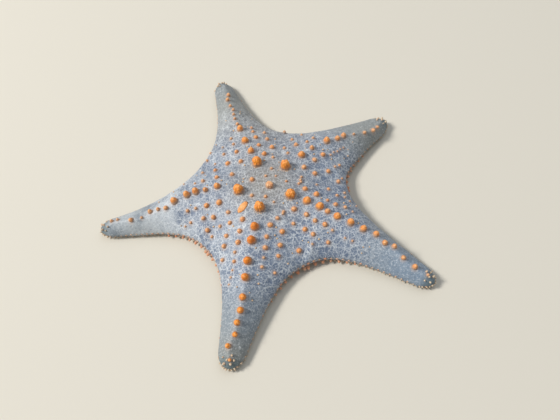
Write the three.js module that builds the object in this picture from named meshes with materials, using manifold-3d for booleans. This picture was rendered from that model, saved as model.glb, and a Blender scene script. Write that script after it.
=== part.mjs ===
// A horned sea star at rest on its mouth side: a domed disc, five stout tapering arms, a
// ring of five large conical tubercles round a central one, a row of tubercles along the
// ridge of every arm and smaller ones in rows on the flanks.
// Millimetres, +Z up. The origin is the middle of the footprint's box, on the floor.

import * as THREE from 'three';
import { mergeVertices } from 'three/addons/utils/BufferGeometryUtils.js';
import Module from 'manifold-3d';

const wasm = await Module();
wasm.setup();

// ---------------------------------------------------------------- driving dimensions

// Arms go round clockwise as seen from above. heading is the direction that an arm leaves
// the disc in, in degrees from +X, sway and hook bend its middle line sideways, root and
// tip are half widths, and ridge is how far the crest stands to the left of the middle
// line at nine even steps. notch is how far the hollow between this arm and the next lies
// from the centre. parting is where the arm is divided from the disc. crest lists the
// tubercles of the crest: where each stands along the arm from the centre, and its radius.
const ARMS = [
  {
    heading: 102.8, length: 126.5, sway: -6.5, hook: 3.4, root: 23, tip: 6.4,
    ridge: [0, -0.5, 0.8, 1.2, 2.3, 1.2, 2.3, -1, 0], notch: 60, parting: 54.5, horn: 102.4,
    crest: [[33.5, 2.7], [45, 3], [59.5, 2.7], [65.5, 1.5], [71.5, 1.3], [77, 1.3],
      [83, 1.4], [88.5, 1.4], [96.5, 1.8], [104, 1.8], [112.5, 1.2]],
  },
  {
    heading: 34.7, length: 112.5, sway: -8.9, hook: -3.2, root: 36, tip: 6.4,
    ridge: [0, 0.5, 2.2, 3.3, 2.6, 0, -4.5, -5, 0], notch: 56.5, parting: 54, horn: 37.8,
    crest: [[35.5, 2.9], [46.5, 1.9], [58.5, 2.7], [66.5, 2.2], [72, 2.2], [79.5, 1.1],
      [86.5, 1.5], [95, 1.8], [101, 1.4]],
  },
  {
    heading: -35.4, length: 125, sway: -12, hook: 0.7, root: 26.8, tip: 5.8,
    ridge: [0, 0.6, 1.5, 1.3, 2.3, 3, 2.3, -1.2, 0], notch: 57.5, parting: 57.5, horn: -39.3,
    crest: [[29.5, 3.1], [38.5, 3.1], [46, 2.1], [53, 2.8], [62.5, 2.7], [71.5, 2.5],
      [79.5, 2.3], [87.5, 2.1], [93.5, 2], [102, 1.8], [110.5, 2], [118.5, 1.2]],
  },
  {
    heading: -110.2, length: 120, sway: 4.9, hook: -4.5, root: 26.2, tip: 7,
    ridge: [0, -0.3, -1, -1.3, -0.7, 0.6, 0.9, -0.6, 0], notch: 57, parting: 60.5, horn: -110.8,
    crest: [[32, 3.2], [41.5, 3.3], [55.5, 3.1], [66, 2.9], [78.5, 2.5], [86.5, 2.4],
      [94, 2.2], [101, 1.9], [107.5, 1.9], [114.5, 1.4]],
  },
  {
    heading: 177.2, length: 123.5, sway: 14.2, hook: -8.1, root: 20.8, tip: 5.4,
    ridge: [0, -1, -6, -6.6, -4.2, 0.6, 2.8, 0.5, 0], notch: 60.5, parting: 60.5, horn: 184.1,
    crest: [[34, 2.6], [42.5, 2], [49.5, 2.7], [56, 2.7], [65.5, 2.8], [71.5, 1.8],
      [77.5, 1.5], [83.5, 1.9], [89, 1.1], [98, 1.8], [107, 1.3], [115, 1.4]],
  },
];

const DISC_HEIGHT = 25.5; // skin at the middle of the disc
const CREST_END_HEIGHT = 9.5; // crest where the rounded tip begins
const NOTCH_MARGIN = 8.5; // height of the upright edge between two arms
const TIP_MARGIN = 5; // the same near a tip
const TIP_ROUNDING = 9; // length of the rounded tip
const EDGE_TUCK = 2.6; // how far the edge is drawn in where it meets the belly
const CREST_FALL = 1.6; // how late the crest starts to drop; 1 would be a straight slope
const WEB_FALL = 2.2; // the same for the web between two arms
const DISC_ROUND = { inner: 2, outer: 1.6 }; // section across a rib: 1 - v^inner, to the outer
const ARM_ROUND = { inner: 1.3, outer: 0.75 };
const BELLY_RISE = 0.9; // belly above the floor, outside the strips that it rests on
const BELLY_RAMP = 4; // width over which it rises
const REST_STRIP = 3; // width of the flat strip on each side of a groove
const GROOVE = { rootWidth: 3.6, tipWidth: 1.5, floor: 0.45, depth: 4.2, end: 8, runOut: 2.2 };
const MOUTH = { inner: 4.5, outer: 8.5, depth: 6 };
const JAW = { inner: 2.6, outer: 11.5, width: 5.4, chamfer: 1.5, point: 1, low: 0.6, high: 5.2 };
const MADREPORITE = { from: 22.2, heading: -144.8, turn: 32, length: 10, width: 5, height: 1.4 };
const HORN_RING = { x: -0.2, y: 0.8, radius: 19.3 };
const HORN = { radius: 3.5, height: 6.5 };
const CENTRE_HORN = { x: 2.2, y: -0.9, radius: 2.8, height: 3.7 };
const CREST_TUBERCLE = { slenderness: 1.5, seat: 1.2 };
const FLANK_ROWS = [
  { offset: 9.2, start: 27.5, pitch: 7.1, count: 5 },
  { offset: 18, start: 30.5, pitch: 7.9, count: 4 },
  { offset: 26.5, start: 44, pitch: 7.5, count: 2 },
];
const FLANK_TUBERCLE = { radius: 1.9, farRadius: 1.2, slenderness: 1.15, seat: 0.9 };
const ROW_WANDER = { along: 1.1, aside: 0.6 }; // how far a flank tubercle strays from its row
const ROW_STRAIGHTENS = 30; // offset at which a flank row no longer follows the crest's bends
const MARGIN_ROW = { start: 3, pitch: 9, count: 2, radius: 1.5, inset: 1.2, slenderness: 1 };
const DISC_RINGS = [
  { from: 12.3, turn: 0.5, radius: 1.5 },
  { from: 24.5, turn: 0.5, radius: 1.8 },
];

const JOINT_GAP = 0.3; // clearance left between neighbouring pieces
const SOCKET = 1.6; // how deep a separate piece is let into the disc
const WELD = 1e-4;

// Steps of the skin: fractions of the disc, half-rib steps over the top and underneath.
const DISC_STEPS = [0.24, 0.47, 0.7, 0.88, 1];
const ARM_STEPS = 7;
const TIP_TURNS = [34, 64, 90];
const TOP_STEPS = [0, 0.3, 0.6, 0.86, 1];
const BELLY_SHARES = [0, 0.18, 0.4, 0.72, 1];
const WALL_TURN = 48;

// ---------------------------------------------------------------- small helpers

const { degToRad, lerp, smoothstep, clamp } = THREE.MathUtils;
const HALF_SECTOR = degToRad(36);

// A smooth curve through evenly spaced values, read at t from 0 to 1.
function through(values, t) {
  const spans = values.length - 1;
  const x = clamp(t, 0, 1) * spans;
  const i = Math.min(Math.floor(x), spans - 1);
  const f = x - i;
  const [a, b, c, d] = [-1, 0, 1, 2].map((k) => values[clamp(i + k, 0, spans)]);
  const bend = -a + 3 * b - 3 * c + d;
  return b + 0.5 * f * (c - a + f * (2 * a - 5 * b + 4 * c - d + f * bend));
}

// Repeatable small offsets between -1 and 1, so that no two rows are quite alike.
function scatter(seed) {
  const x = Math.sin(seed * 12.9898) * 43758.5453;
  return 2 * (x - Math.floor(x)) - 1;
}

function asSolid(geometry) {
  const bare = geometry.clone();
  bare.deleteAttribute('normal');
  bare.deleteAttribute('uv');
  const welded = mergeVertices(bare, WELD);
  const corners = welded.index.array;
  const faces = [];
  for (let k = 0; k < corners.length; k += 3) {
    const [a, b, c] = corners.slice(k, k + 3);
    if (a !== b && b !== c && c !== a) faces.push(a, b, c);
  }
  const vertProperties = new Float32Array(welded.attributes.position.array);
  const triVerts = new Uint32Array(faces);
  return new wasm.Manifold(new wasm.Mesh({ numProp: 3, vertProperties, triVerts }));
}

function asGeometry(solid) {
  const mesh = solid.getMesh();
  const geometry = new THREE.BufferGeometry();
  geometry.setAttribute('position', new THREE.BufferAttribute(mesh.vertProperties, 3));
  geometry.setIndex(new THREE.BufferAttribute(mesh.triVerts, 1));
  geometry.computeVertexNormals();
  return geometry;
}

// ---------------------------------------------------------------- plan of the star

// The middle line of an arm: the point at distance s, and the directions there.
function middle(arm, s) {
  const t = s / arm.length;
  const heading = degToRad(arm.heading);
  const straight = new THREE.Vector2(Math.cos(heading), Math.sin(heading));
  const across = new THREE.Vector2(-straight.y, straight.x);
  const bend = (arm.sway + arm.hook * t) * t * t;
  const turn = ((2 * arm.sway + 3 * arm.hook * t) * t) / arm.length;
  const ahead = straight.clone().addScaledVector(across, turn).normalize();
  return {
    point: straight.multiplyScalar(s).addScaledVector(across, bend),
    ahead,
    left: new THREE.Vector2(-ahead.y, ahead.x),
  };
}

function plainWidth(arm, s) {
  return lerp(arm.root, arm.tip, s / arm.length);
}

function notchAfter(index) {
  const arm = ARMS[index];
  const next = ARMS[(index + 1) % ARMS.length];
  const gap = (arm.heading - next.heading + 360) % 360;
  const heading = degToRad(arm.heading - gap / 2);
  return new THREE.Vector2(Math.cos(heading), Math.sin(heading)).multiplyScalar(arm.notch);
}

// One side of an arm (1 left, -1 right): where its notch stands along the arm, and how
// fast the web between the arms flares out to reach it.
function flank(arm, notch, side) {
  let s = 0.4 * arm.length;
  for (let step = 0; step < 12; step += 1) {
    const guess = middle(arm, s);
    s += notch.clone().sub(guess.point).dot(guess.ahead);
  }
  const at = middle(arm, s);
  const reach = side * notch.clone().sub(at.point).dot(at.left);
  const square = new THREE.Vector2(-notch.y, notch.x);
  const slope = (side * square.dot(at.left)) / square.dot(at.ahead);
  const taper = (arm.tip - arm.root) / arm.length;
  const flare = reach - plainWidth(arm, s);
  return { side, s, notch, flare, fade: flare / (taper - slope) };
}

ARMS.forEach((arm, index) => {
  const before = (index + ARMS.length - 1) % ARMS.length;
  arm.left = flank(arm, notchAfter(before), 1);
  arm.right = flank(arm, notchAfter(index), -1);
  arm.base = (arm.left.s + arm.right.s) / 2;
});

function halfWidth(arm, flankSide, s) {
  return plainWidth(arm, s) + flankSide.flare * Math.exp((flankSide.s - s) / flankSide.fade);
}

// A station u runs from 0 at the notch to 1 where the tip begins to round, and on to 2 at
// the end of the arm.
function stationAt(arm, start, u) {
  const tipStart = arm.length - TIP_ROUNDING;
  const turn = clamp(u - 1, 0, 1) * 0.5 * Math.PI;
  return lerp(start, tipStart, Math.min(u, 1)) + TIP_ROUNDING * Math.sin(turn);
}

function edgePoint(arm, flankSide, u) {
  const s = stationAt(arm, flankSide.s, u);
  const at = middle(arm, s);
  const shrink = Math.cos(clamp(u - 1, 0, 1) * 0.5 * Math.PI);
  return at.point.addScaledVector(at.left, flankSide.side * shrink * halfWidth(arm, flankSide, s));
}

// The direction from the outline into the body.
function inwards(arm, flankSide, u) {
  if (u === 0) return flankSide.notch.clone().normalize().negate();
  if (u >= 2) return middle(arm, arm.length).ahead.negate();
  const step = 0.01;
  const run = edgePoint(arm, flankSide, u + step).sub(edgePoint(arm, flankSide, u - step));
  return new THREE.Vector2(run.y, -run.x).multiplyScalar(flankSide.side).normalize();
}

// ---------------------------------------------------------------- heights

function crestHeight(arm, u) {
  const s = stationAt(arm, arm.base, u);
  const t = s / arm.length;
  const crest = lerp(DISC_HEIGHT, CREST_END_HEIGHT, t ** CREST_FALL);
  const fall = Math.cos(clamp(u - 1, 0, 1) * 0.5 * Math.PI);
  return lerp(TIP_MARGIN, crest, fall);
}

function marginHeight(u) {
  return lerp(NOTCH_MARGIN, TIP_MARGIN, smoothstep(u, 0, 1));
}

// The belly: five grooves that meet in the mouth, each between two flat strips that rest
// on the floor. aside is the distance from the groove's middle, s the one along it.
function bellyHeight(arm, aside, s) {
  const left = clamp((arm.length - GROOVE.end - s) / arm.length, 0, 1);
  const width = grooveWidth(arm, s);
  const depth = GROOVE.depth * Math.min(1, GROOVE.runOut * left);
  const groove = depth * (1 - smoothstep(aside, GROOVE.floor * width, width));
  const mouth = MOUTH.depth * (1 - smoothstep(Math.hypot(aside, s), MOUTH.inner, MOUTH.outer));
  const strip = width + REST_STRIP;
  const rise = BELLY_RISE * smoothstep(aside, strip, strip + BELLY_RAMP);
  return Math.max(groove, mouth, rise);
}

function grooveWidth(arm, s) {
  return lerp(GROOVE.rootWidth, GROOVE.tipWidth, s / arm.length);
}

// ---------------------------------------------------------------- skin of the star

// Half of a rib over the top, from the crest to one edge.
function topRun(crest, edge, crestZ, edgeZ, round) {
  return TOP_STEPS.map((v) => {
    const share = (1 - v ** round.inner) ** round.outer;
    const p = crest.clone().lerp(edge, v);
    return new THREE.Vector3(p.x, p.y, lerp(edgeZ, crestZ, share));
  });
}

// Half of a rib underneath, from the middle line to the foot of one edge.
function bellyRun(arm, centre, foot, s, seamRadius) {
  const width = grooveWidth(arm, s);
  const strip = width + REST_STRIP;
  const marks = [0, GROOVE.floor * width, width, strip, Infinity];
  const span = centre.distanceTo(foot);
  return marks.map((mark, k) => {
    const aside = Math.min(mark, BELLY_SHARES[k] * span);
    const p = centre.clone().lerp(foot, aside / span);
    const onSeam = seamRadius !== null && k === marks.length - 1;
    const z = onSeam
      ? bellyHeight(ARMS[0], seamRadius * Math.sin(HALF_SECTOR), seamRadius * Math.cos(HALF_SECTOR))
      : bellyHeight(arm, aside, s);
    return new THREE.Vector3(p.x, p.y, z);
  });
}

// The point where the rounded edge turns under.
function wallPoint(edge, inward, top, foot) {
  const angle = degToRad(WALL_TURN);
  const p = edge.clone().addScaledVector(inward, EDGE_TUCK * (1 - Math.cos(angle)));
  return new THREE.Vector3(p.x, p.y, lerp(top, foot, Math.sin(angle)));
}

// A rib inside the disc, between the two seams that the arm shares with its neighbours.
function discRib(arm, share) {
  const s = share * arm.base;
  const at = middle(arm, s);
  const crest = at.point.clone().addScaledVector(at.left, through(arm.ridge, s / arm.length));
  const crestZ = lerp(DISC_HEIGHT, CREST_END_HEIGHT, (s / arm.length) ** CREST_FALL);
  const seamZ = lerp(DISC_HEIGHT, NOTCH_MARGIN, share ** WEB_FALL);
  const round = {
    inner: lerp(DISC_ROUND.inner, ARM_ROUND.inner, share),
    outer: lerp(DISC_ROUND.outer, ARM_ROUND.outer, share ** 3),
  };
  const half = (flankSide) => {
    const edge = flankSide.notch.clone().multiplyScalar(share);
    return {
      top: topRun(crest, edge, crestZ, seamZ, round),
      belly: bellyRun(arm, at.point, edge, s, edge.length()),
    };
  };
  return { left: half(arm.left), right: half(arm.right) };
}

// A rib of the arm itself, with a rounded edge on each side.
function armRib(arm, u) {
  const s = stationAt(arm, arm.base, u);
  const at = middle(arm, s);
  const shift = through(arm.ridge, s / arm.length);
  const crest = at.point.clone().addScaledVector(at.left, shift);
  const crestZ = crestHeight(arm, u);
  const edgeZ = marginHeight(u);
  const half = (flankSide) => {
    const edge = edgePoint(arm, flankSide, u);
    const inward = inwards(arm, flankSide, u);
    const foot = edge.clone().addScaledVector(inward, EDGE_TUCK);
    const belly = bellyRun(arm, at.point, foot, s, u === 0 ? flankSide.notch.length() : null);
    return {
      top: topRun(crest, edge, crestZ, edgeZ, ARM_ROUND),
      wall: wallPoint(edge, inward, edgeZ, belly.at(-1).z),
      belly,
    };
  };
  return { left: half(arm.left), right: half(arm.right) };
}

// The rib as one closed ring, and the places in it where the walls are.
function ringOf(rib) {
  const { left, right } = rib;
  return {
    top: [...left.top].reverse().concat(right.top.slice(1)),
    rightWall: [right.top.at(-1), right.wall, right.belly.at(-1)],
    belly: [...right.belly].reverse().concat(left.belly.slice(1)),
    leftWall: [left.belly.at(-1), left.wall, left.top.at(-1)],
  };
}

function starGeometry() {
  const corners = [];
  const strip = (near, far) => {
    for (let k = 0; k + 1 < near.length; k += 1) {
      corners.push(near[k], near[k + 1], far[k], near[k + 1], far[k + 1], far[k]);
    }
  };
  for (const arm of ARMS) {
    const centreZ = bellyHeight(arm, 0, 0);
    let last = null;
    for (const share of DISC_STEPS.slice(0, -1)) {
      const ring = ringOf(discRib(arm, share));
      const top = last ? last.top : ring.top.map(() => new THREE.Vector3(0, 0, DISC_HEIGHT));
      const belly = last ? last.belly : ring.belly.map(() => new THREE.Vector3(0, 0, centreZ));
      strip(top, ring.top);
      strip(belly, ring.belly);
      last = ring;
    }
    const straight = Array.from({ length: ARM_STEPS + 1 }, (_, k) => (k / ARM_STEPS) ** 1.35);
    const stations = straight.concat(TIP_TURNS.map((turn) => 1 + turn / 90));
    stations.forEach((u) => {
      const ring = ringOf(armRib(arm, u));
      strip(last.top, ring.top);
      strip(last.belly, ring.belly);
      if (u > 0) {
        strip(last.rightWall, ring.rightWall);
        strip(last.leftWall, ring.leftWall);
      }
      last = ring;
    });
  }
  return new THREE.BufferGeometry().setFromPoints(corners);
}

// ---------------------------------------------------------------- tubercles

const starShape = starGeometry();
const starSkin = new THREE.Mesh(starShape, new THREE.MeshBasicMaterial());
const plumb = new THREE.Raycaster();

// The skin straight above a point of the plan: where it is and which way it faces.
function skinAt(x, y) {
  plumb.set(new THREE.Vector3(x, y, 2 * DISC_HEIGHT), new THREE.Vector3(0, 0, -1));
  const [hit] = plumb.intersectObject(starSkin);
  return { point: hit.point, normal: hit.face.normal.clone() };
}

function stand(geometry, seat) {
  const up = new THREE.Vector3(0, 1, 0);
  const turn = new THREE.Quaternion().setFromUnitVectors(up, seat.normal);
  const one = new THREE.Vector3(1, 1, 1);
  return geometry.applyMatrix4(new THREE.Matrix4().compose(seat.point, turn, one));
}

function lathe(points, segments) {
  return new THREE.LatheGeometry(points.map(([r, y]) => new THREE.Vector2(r, y)), segments);
}

// A blunt cone with a rounded top; grow makes the slightly larger body that cuts its seat.
function hornGeometry({ radius, height }, grow = 0) {
  const r = radius + grow;
  const h = height + grow;
  const profile = [[0, -SOCKET - grow], [r, -SOCKET - grow], [r, 0], [0.93 * r, 0.45 * h],
    [0.55 * r, 0.88 * h], [0, h]];
  return lathe(profile, 8);
}

function crestGeometry(radius) {
  const h = CREST_TUBERCLE.slenderness * radius;
  const { seat } = CREST_TUBERCLE;
  return lathe([[0, -seat], [radius, -seat], [0.72 * radius, 0.62 * h], [0, h]], 6);
}

function flankGeometry(radius, slenderness) {
  const { seat } = FLANK_TUBERCLE;
  return lathe([[0, -seat], [1.25 * radius, -seat], [0, slenderness * radius]], 5);
}

function clearOf(parting, s, radius) {
  const room = radius + 2 * JOINT_GAP;
  if (Math.abs(s - parting) >= room) return s;
  return parting + room * (s < parting ? -1 : 1);
}

const growth = { disc: [] };

function plant(geometry, x, y, owner) {
  growth[owner].push(stand(geometry, skinAt(x, y)));
}

function ownerAt(arm, name, s) {
  return s > arm.parting ? name : 'disc';
}

function plantCrest(arm, name) {
  for (const [mark, size] of arm.crest) {
    const s = clearOf(arm.parting, mark, size);
    const at = middle(arm, s);
    const p = at.point.addScaledVector(at.left, through(arm.ridge, s / arm.length));
    plant(crestGeometry(size), p.x, p.y, ownerAt(arm, name, s));
  }
}

function plantFlanks(arm, name, index) {
  for (const flankSide of [arm.left, arm.right]) {
    FLANK_ROWS.forEach((row, rowIndex) => {
      for (let k = 0; k < row.count; k += 1) {
        const seed = 97 * index + 31 * rowIndex + 7 * k + 3 * flankSide.side;
        const far = k / FLANK_ROWS[0].count;
        const size = lerp(FLANK_TUBERCLE.radius, FLANK_TUBERCLE.farRadius, far);
        const wish = row.start + k * row.pitch + ROW_WANDER.along * scatter(seed);
        const s = clearOf(arm.parting, wish, size);
        const at = middle(arm, s);
        const shift = through(arm.ridge, s / arm.length);
        const room = halfWidth(arm, flankSide, Math.max(s, flankSide.s)) - size - 1;
        const offset = Math.min(room, row.offset + ROW_WANDER.aside * scatter(seed + 50));
        const follow = 1 - row.offset / ROW_STRAIGHTENS;
        const p = at.point.addScaledVector(at.left, flankSide.side * offset + shift * follow);
        plant(flankGeometry(size, FLANK_TUBERCLE.slenderness), p.x, p.y, ownerAt(arm, name, s));
      }
    });
  }
}

function plantMargins(arm, name) {
  for (const flankSide of [arm.left, arm.right]) {
    for (let k = 0; k < MARGIN_ROW.count; k += 1) {
      const { radius, slenderness } = MARGIN_ROW;
      const s = clearOf(arm.parting, flankSide.s + MARGIN_ROW.start + k * MARGIN_ROW.pitch, radius);
      const at = middle(arm, s);
      const aside = flankSide.side * (halfWidth(arm, flankSide, s) - MARGIN_ROW.inset);
      const p = at.point.addScaledVector(at.left, aside);
      plant(flankGeometry(radius, slenderness), p.x, p.y, ownerAt(arm, name, s));
    }
  }
}

function plantDiscRings() {
  for (const ring of DISC_RINGS) {
    ARMS.forEach((arm, index) => {
      const next = ARMS[(index + 1) % ARMS.length];
      const gap = (arm.heading - next.heading + 360) % 360;
      const heading = degToRad(arm.heading - ring.turn * gap);
      const x = HORN_RING.x + ring.from * Math.cos(heading);
      const y = HORN_RING.y + ring.from * Math.sin(heading);
      const seat = madreporiteSeat.point;
      const crowded = Math.hypot(x - seat.x, y - seat.y) < MADREPORITE.length / 2 + ring.radius;
      if (!crowded) plant(flankGeometry(ring.radius, FLANK_TUBERCLE.slenderness), x, y, 'disc');
    });
  }
}

// ---------------------------------------------------------------- separate pieces

const madreporiteHeading = degToRad(MADREPORITE.heading);
const madreporiteSeat = skinAt(
  MADREPORITE.from * Math.cos(madreporiteHeading),
  MADREPORITE.from * Math.sin(madreporiteHeading),
);

// The sieve plate: a low oval cushion let into the disc.
function madreporiteGeometry(grow = 0) {
  const h = MADREPORITE.height + grow;
  const half = MADREPORITE.length / 2 + grow;
  const profile = [[0, -SOCKET - grow], [0.96, -SOCKET - grow], [1, 0.3 * h], [0.7, h], [0, h]];
  const plate = lathe(profile, 12).scale(half, 1, half * (MADREPORITE.width / MADREPORITE.length));
  plate.rotateY(degToRad(MADREPORITE.turn));
  return stand(plate, madreporiteSeat);
}

// One jaw: a wedge that points at the middle of the mouth, between two grooves.
function jawGeometry(index, grow = 0) {
  const arm = ARMS[index];
  const next = ARMS[(index + 1) % ARMS.length];
  const gap = (arm.heading - next.heading + 360) % 360;
  const { inner, outer, width, chamfer, point } = JAW;
  const outline = new THREE.Shape([
    new THREE.Vector2(inner - grow, -point / 2 - grow),
    new THREE.Vector2(outer - chamfer + grow, -width / 2 - grow),
    new THREE.Vector2(outer + grow, -width / 4),
    new THREE.Vector2(outer + grow, width / 4),
    new THREE.Vector2(outer - chamfer + grow, width / 2 + grow),
    new THREE.Vector2(inner - grow, point / 2 + grow),
  ]);
  const low = grow > 0 ? -1 : JAW.low; // the pocket is open below
  const wedge = new THREE.ExtrudeGeometry(outline, {
    depth: JAW.high + grow - low, bevelEnabled: false,
  });
  return wedge.translate(0, 0, low).rotateZ(degToRad(arm.heading - gap / 2));
}

function hornSeats() {
  const seats = ARMS.map((arm) => {
    const turn = degToRad(arm.horn);
    return skinAt(
      HORN_RING.x + HORN_RING.radius * Math.cos(turn),
      HORN_RING.y + HORN_RING.radius * Math.sin(turn),
    );
  });
  return [...seats, skinAt(CENTRE_HORN.x, CENTRE_HORN.y)];
}

// A block that takes in everything of one arm beyond its parting plane.
function beyondParting(arm, grow) {
  const reach = 100;
  const at = middle(arm, arm.parting);
  const block = new THREE.BoxGeometry(reach, reach, reach);
  block.translate(reach / 2 - grow, 0, 0);
  block.rotateZ(Math.atan2(at.ahead.y, at.ahead.x));
  return asSolid(block.translate(at.point.x, at.point.y, 0));
}

// ---------------------------------------------------------------- assembly

const SKIN = { color: '#96a5b9', roughness: 0.5, metalness: 0 };
const ORANGE = { color: '#e5822f', roughness: 0.45, metalness: 0 };
const ORAL = { color: '#cdb9a6', roughness: 0.6, metalness: 0 };

const star = asSolid(starShape);
const seats = hornSeats();
const armNames = ARMS.map((_, index) => `arm_${index + 1}`);
armNames.forEach((name) => {
  growth[name] = [];
});
ARMS.forEach((arm, index) => {
  plantCrest(arm, armNames[index]);
  plantFlanks(arm, armNames[index], index);
  plantMargins(arm, armNames[index]);
});
plantDiscRings();

const pieces = [];

function addPiece(name, geometry, finish) {
  pieces.push({ name, geometry, finish });
}

let disc = star;
ARMS.forEach((arm, index) => {
  disc = disc.subtract(beyondParting(arm, JOINT_GAP));
  let limb = star.intersect(beyondParting(arm, 0));
  for (const bump of growth[armNames[index]]) limb = limb.add(asSolid(bump));
  addPiece(armNames[index], asGeometry(limb), SKIN);
});
for (const bump of growth.disc) disc = disc.add(asSolid(bump));

seats.forEach((seat, index) => {
  const isCentre = index === ARMS.length;
  const size = isCentre ? CENTRE_HORN : HORN;
  const name = isCentre ? 'horn_centre' : `horn_${index + 1}`;
  disc = disc.subtract(asSolid(stand(hornGeometry(size, JOINT_GAP), seat)));
  addPiece(name, stand(hornGeometry(size), seat), ORANGE);
});
ARMS.forEach((_, index) => {
  disc = disc.subtract(asSolid(jawGeometry(index, JOINT_GAP)));
  addPiece(`jaw_${index + 1}`, jawGeometry(index), ORAL);
});
disc = disc.subtract(asSolid(madreporiteGeometry(JOINT_GAP)));
addPiece('madreporite', madreporiteGeometry(), ORANGE);
addPiece('disc', asGeometry(disc), SKIN);

// Everything moves together so that the footprint's box is centred on the origin.
const whole = new THREE.Box3();
for (const { geometry } of pieces) {
  geometry.computeBoundingBox();
  whole.union(geometry.boundingBox);
}
const middleOfBox = whole.getCenter(new THREE.Vector3());

const group = new THREE.Group();
group.name = 'starfish';
for (const { name, geometry, finish } of pieces) {
  const mesh = new THREE.Mesh(geometry, new THREE.MeshStandardMaterial(finish));
  mesh.name = name;
  mesh.position.set(-middleOfBox.x, -middleOfBox.y, 0);
  group.add(mesh);
}

export default group;
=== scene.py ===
import math
import random
import bmesh
import bpy
import numpy as np
from mathutils import Matrix, Vector, noise
from mathutils.bvhtree import BVHTree


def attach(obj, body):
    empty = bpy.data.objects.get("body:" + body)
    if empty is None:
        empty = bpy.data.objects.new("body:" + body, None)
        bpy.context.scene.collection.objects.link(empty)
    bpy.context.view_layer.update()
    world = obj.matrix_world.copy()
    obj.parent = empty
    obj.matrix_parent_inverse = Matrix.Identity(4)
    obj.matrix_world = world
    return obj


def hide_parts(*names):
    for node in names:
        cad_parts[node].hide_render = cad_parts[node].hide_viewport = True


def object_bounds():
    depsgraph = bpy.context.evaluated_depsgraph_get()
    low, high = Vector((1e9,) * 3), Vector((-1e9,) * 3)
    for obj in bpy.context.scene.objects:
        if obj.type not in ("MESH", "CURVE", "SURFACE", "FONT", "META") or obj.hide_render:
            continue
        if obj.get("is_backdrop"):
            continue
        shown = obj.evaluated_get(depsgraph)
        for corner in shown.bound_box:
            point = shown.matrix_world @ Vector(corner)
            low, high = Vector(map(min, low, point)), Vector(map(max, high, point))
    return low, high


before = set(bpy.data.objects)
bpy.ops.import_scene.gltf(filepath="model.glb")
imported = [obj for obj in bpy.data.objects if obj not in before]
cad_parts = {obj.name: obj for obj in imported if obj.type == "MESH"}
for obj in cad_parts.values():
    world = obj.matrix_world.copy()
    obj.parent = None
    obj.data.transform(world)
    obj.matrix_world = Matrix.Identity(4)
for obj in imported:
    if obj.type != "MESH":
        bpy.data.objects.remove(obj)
cad_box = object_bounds()

# ------------------------------
# Stage: a matt pale floor, a soft lamp half way up on the left, a weak one at the back
# right and an even pale room round them. The camera looks down from the front, rolled a
# little.
MM = 0.001
STAR_MIDDLE = (12.0475, -5.4763)  # middle of the disc in the frame, in mm


def paint_value(red, green, blue):
    """A display colour of 0 to 255 a channel as the linear one that materials take."""
    linear = [c / 3294.6 if c <= 10.3 else ((c / 255 + 0.055) / 1.055) ** 2.4
              for c in (red, green, blue)]
    return (*linear, 1.0)


def new_paint(name):
    """An empty material, with the shader node that takes its values."""
    made = bpy.data.materials.new(name)
    made.use_nodes = True
    return made, made.node_tree.nodes["Principled BSDF"]


CAMERA_TILT = 59.3
CAMERA_REACH = 348
CAMERA_ROLL = -9.7
CAMERA_TARGET = (6.4, -6.1)
CAMERA_LENS = 30.79
FLOOR_SIZE = 6

tilt = math.radians(CAMERA_TILT)
target = Vector((CAMERA_TARGET[0] + STAR_MIDDLE[0], CAMERA_TARGET[1] + STAR_MIDDLE[1], 0))
back = Vector((0, -math.cos(tilt), math.sin(tilt)))
side = Vector((1, 0, 0))
facing = Matrix((side, back.cross(side), back)).transposed().to_4x4()
turned = facing @ Matrix.Rotation(math.radians(CAMERA_ROLL), 4, "Z")
bpy.ops.object.camera_add()
camera = bpy.context.object
camera.data.sensor_fit = "HORIZONTAL"
camera.data.sensor_width = 36
camera.data.lens = CAMERA_LENS
camera.matrix_world = Matrix.Translation((target + back * CAMERA_REACH) * MM) @ turned
camera.data.clip_start = 0.01
bpy.context.scene.camera = camera
bpy.context.scene.view_settings.view_transform = "Standard"


def lamp(name, azimuth, elevation, distance, size, power, colour):
    """A square soft lamp that faces the middle of the star."""
    a, e = math.radians(azimuth), math.radians(elevation)
    away = Vector((math.cos(a) * math.cos(e), math.sin(a) * math.cos(e), math.sin(e)))
    bpy.ops.object.light_add(type="AREA", location=away * distance)
    made = bpy.context.object
    made.name = name
    made.rotation_euler = away.to_track_quat("Z", "Y").to_euler()
    made.data.size = size
    made.data.energy = power
    made.data.color = colour


lamp("key", 174, 48, 3.2, 0.76, 98, (1.0, 0.97, 0.93))
lamp("fill", 40, 60, 2.4, 2.0, 12, (0.93, 0.96, 1.0))

room = bpy.data.worlds.new("room")
bpy.context.scene.world = room
room.use_nodes = True
walls = room.node_tree.nodes["Background"].inputs
walls["Color"].default_value = (0.86, 0.92, 1.0, 1)
walls["Strength"].default_value = 0.32

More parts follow.
